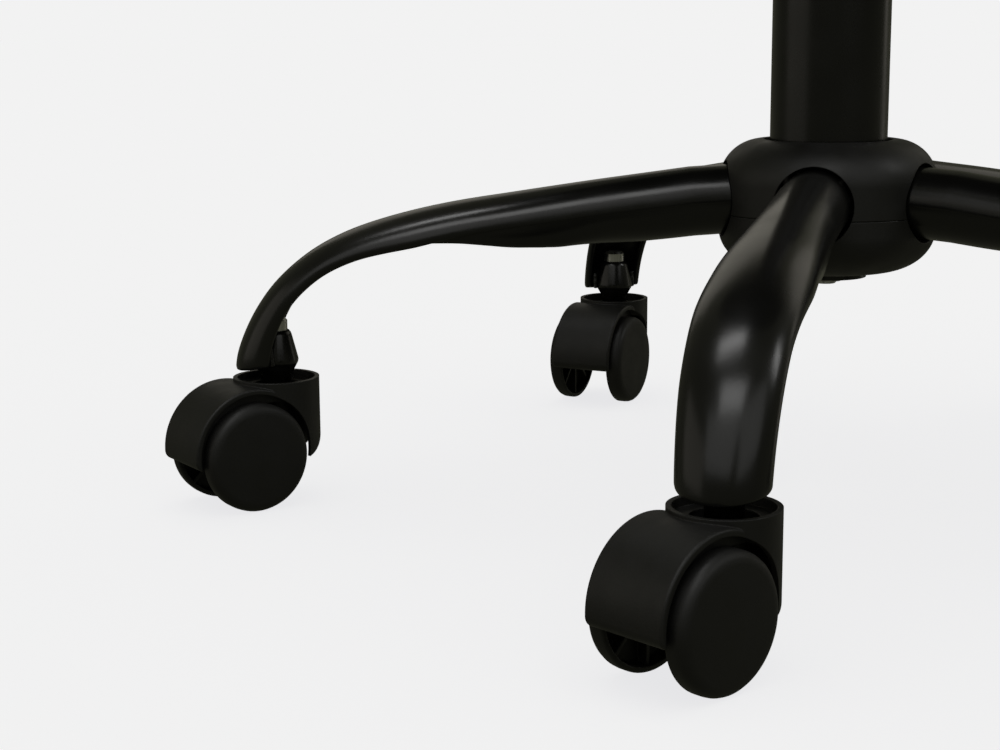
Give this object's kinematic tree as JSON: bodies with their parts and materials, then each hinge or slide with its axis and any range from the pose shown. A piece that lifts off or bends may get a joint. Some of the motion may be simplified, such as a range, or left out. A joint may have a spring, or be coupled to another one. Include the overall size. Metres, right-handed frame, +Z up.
{
  "type": "adjustable swivel stool",
  "caption": "Height-adjustable swivel stool with a round padded seat on a lever-operated gas lift and a star base of pressed-tube arms with hooded twin-wheel casters.",
  "frame": {"origin": "on the floor, under the column's axis", "axes": "+Z up along the column; -Y towards the front arm; +X towards the lever at rest"},
  "size_m": [0.519, 0.5023, 0.482],
  "materials": {
    "arm_paint": "satin black powder coat",
    "column_paint": "semi-gloss black paint",
    "cover_plastic": "matte black moulded plastic",
    "caster_plastic": "matte black moulded nylon",
    "wheel_plastic": "matte black moulded nylon tread",
    "steel": "zinc plated",
    "bearing_steel": "polished bearing steel",
    "bush_plastic": "black acetal",
    "cylinder_steel": "ground chrome plate",
    "rubber": "matte black",
    "mechanism_paint": "satin black powder coat",
    "lever_paint": "satin black",
    "grip_plastic": "matte black",
    "plywood": "raw birch plywood",
    "cloth": "black non-woven cloth",
    "upholstery": "fine-grained black leatherette, a coated cloth"
  },
  "bodies": {
    "base": {"arm_front": "arm_paint", "arm_right": "arm_paint", "arm_rear_right": "arm_paint", "arm_rear_left": "arm_paint", "arm_left": "arm_paint", "hub_tube": "arm_paint", "hub_cover_upper": "cover_plastic", "hub_cover_lower": "cover_plastic", "stem_sockets": "arm_paint", "grip_rings": "steel", "column_tube": "column_paint", "column_guide_bush": "bush_plastic", "bearing_lower_washer": "bearing_steel", "bearing_balls": "bearing_steel", "front_caster_stem": "steel", "right_caster_stem": "steel", "rear_right_caster_stem": "steel", "rear_left_caster_stem": "steel", "left_caster_stem": "steel"},
    "front_caster": {"front_caster_hood": "caster_plastic", "front_axle": "steel"},
    "front_left_wheel": {"front_wheel_left": "wheel_plastic"},
    "front_right_wheel": {"front_wheel_right": "wheel_plastic"},
    "right_caster": {"right_caster_hood": "caster_plastic", "right_axle": "steel"},
    "right_left_wheel": {"right_wheel_left": "wheel_plastic"},
    "right_right_wheel": {"right_wheel_right": "wheel_plastic"},
    "rear_right_caster": {"rear_right_caster_hood": "caster_plastic", "rear_right_axle": "steel"},
    "rear_right_left_wheel": {"rear_right_wheel_left": "wheel_plastic"},
    "rear_right_right_wheel": {"rear_right_wheel_right": "wheel_plastic"},
    "rear_left_caster": {"rear_left_caster_hood": "caster_plastic", "rear_left_axle": "steel"},
    "rear_left_left_wheel": {"rear_left_wheel_left": "wheel_plastic"},
    "rear_left_right_wheel": {"rear_left_wheel_right": "wheel_plastic"},
    "left_caster": {"left_caster_hood": "caster_plastic", "left_axle": "steel"},
    "left_left_wheel": {"left_wheel_left": "wheel_plastic"},
    "left_right_wheel": {"left_wheel_right": "wheel_plastic"},
    "rotor": {"bearing_upper_washer": "bearing_steel", "piston_rod": "cylinder_steel", "rod_clip": "steel", "rubber_bumper": "rubber", "piston": "bush_plastic"},
    "seat": {"gas_cylinder": "cylinder_steel", "cylinder_gland": "bush_plastic", "taper_socket": "mechanism_paint", "lever_bracket": "mechanism_paint", "lever_pivot_pin": "steel", "seat_plate": "mechanism_paint", "seat_bolts": "steel", "tee_nuts": "steel", "dust_cover": "cloth", "seat_board": "plywood", "seat_cushion": "upholstery"},
    "valve": {"valve_pin": "steel"},
    "lever": {"lever_rod": "lever_paint", "lever_grip": "grip_plastic"}
  },
  "joints": [
    {"name": "front_caster_swivel", "type": "hinge", "parent": "base", "child": "front_caster", "pos_m": [0, -0.2405, 0.05], "axis": [0, 0, 1], "continuous": true},
    {"name": "front_left_wheel_spin", "type": "hinge", "parent": "front_caster", "child": "front_left_wheel", "pos_m": [-0.00964, -0.25687, 0.0235], "axis": [0.8616, -0.5075, 0], "continuous": true},
    {"name": "front_right_wheel_spin", "type": "hinge", "parent": "front_caster", "child": "front_right_wheel", "pos_m": [-0.00964, -0.25687, 0.0235], "axis": [0.8616, -0.5075, 0], "continuous": true},
    {"name": "right_caster_swivel", "type": "hinge", "parent": "base", "child": "right_caster", "pos_m": [0.22873, -0.07432, 0.05], "axis": [0, 0, 1], "continuous": true},
    {"name": "right_left_wheel_spin", "type": "hinge", "parent": "right_caster", "child": "right_left_wheel", "pos_m": [0.22131, -0.09181, 0.0235], "axis": [0.9205, -0.3907, 0], "continuous": true},
    {"name": "right_right_wheel_spin", "type": "hinge", "parent": "right_caster", "child": "right_right_wheel", "pos_m": [0.22131, -0.09181, 0.0235], "axis": [0.9205, -0.3907, 0], "continuous": true},
    {"name": "rear_right_caster_swivel", "type": "hinge", "parent": "base", "child": "rear_right_caster", "pos_m": [0.14136, 0.19457, 0.05], "axis": [0, 0, 1], "continuous": true},
    {"name": "rear_right_left_wheel_spin", "type": "hinge", "parent": "rear_right_caster", "child": "rear_right_left_wheel", "pos_m": [0.13074, 0.17882, 0.0235], "axis": [0.829, -0.5592, 0], "continuous": true},
    {"name": "rear_right_right_wheel_spin", "type": "hinge", "parent": "rear_right_caster", "child": "rear_right_right_wheel", "pos_m": [0.13074, 0.17882, 0.0235], "axis": [0.829, -0.5592, 0], "continuous": true},
    {"name": "rear_left_caster_swivel", "type": "hinge", "parent": "base", "child": "rear_left_caster", "pos_m": [-0.14136, 0.19457, 0.05], "axis": [0, 0, 1], "continuous": true},
    {"name": "rear_left_left_wheel_spin", "type": "hinge", "parent": "rear_left_caster", "child": "rear_left_left_wheel", "pos_m": [-0.1445, 0.17583, 0.0235], "axis": [0.9863, -0.165, 0], "continuous": true},
    {"name": "rear_left_right_wheel_spin", "type": "hinge", "parent": "rear_left_caster", "child": "rear_left_right_wheel", "pos_m": [-0.1445, 0.17583, 0.0235], "axis": [0.9863, -0.165, 0], "continuous": true},
    {"name": "left_caster_swivel", "type": "hinge", "parent": "base", "child": "left_caster", "pos_m": [-0.22873, -0.07432, 0.05], "axis": [0, 0, 1], "continuous": true},
    {"name": "left_left_wheel_spin", "type": "hinge", "parent": "left_caster", "child": "left_left_wheel", "pos_m": [-0.24056, -0.08919, 0.0235], "axis": [0.7826, -0.6225, 0], "continuous": true},
    {"name": "left_right_wheel_spin", "type": "hinge", "parent": "left_caster", "child": "left_right_wheel", "pos_m": [-0.24056, -0.08919, 0.0235], "axis": [0.7826, -0.6225, 0], "continuous": true},
    {"name": "seat_swivel", "type": "hinge", "parent": "base", "child": "rotor", "pos_m": [0, 0, 0.1], "axis": [0, 0, 1], "continuous": true},
    {"name": "seat_lift", "type": "slide", "parent": "rotor", "child": "seat", "axis": [0, 0, 1], "range_m": [0, 0.11]},
    {"name": "lever_tilt", "type": "hinge", "parent": "seat", "child": "lever", "pos_m": [0.032, 0, 0.3903], "axis": [0, -1, 0], "range_deg": [0, 7], "stiffness_Nm_per_rad": 2, "springref_deg": -6.88},
    {"name": "valve_press", "type": "slide", "parent": "seat", "child": "valve", "axis": [0, 0, -1], "range_m": [0, 0.004]}
  ],
  "couplings": [
    {"joint": "valve_press", "follows": "lever_tilt", "m_per_rad": 0.0325}
  ]
}
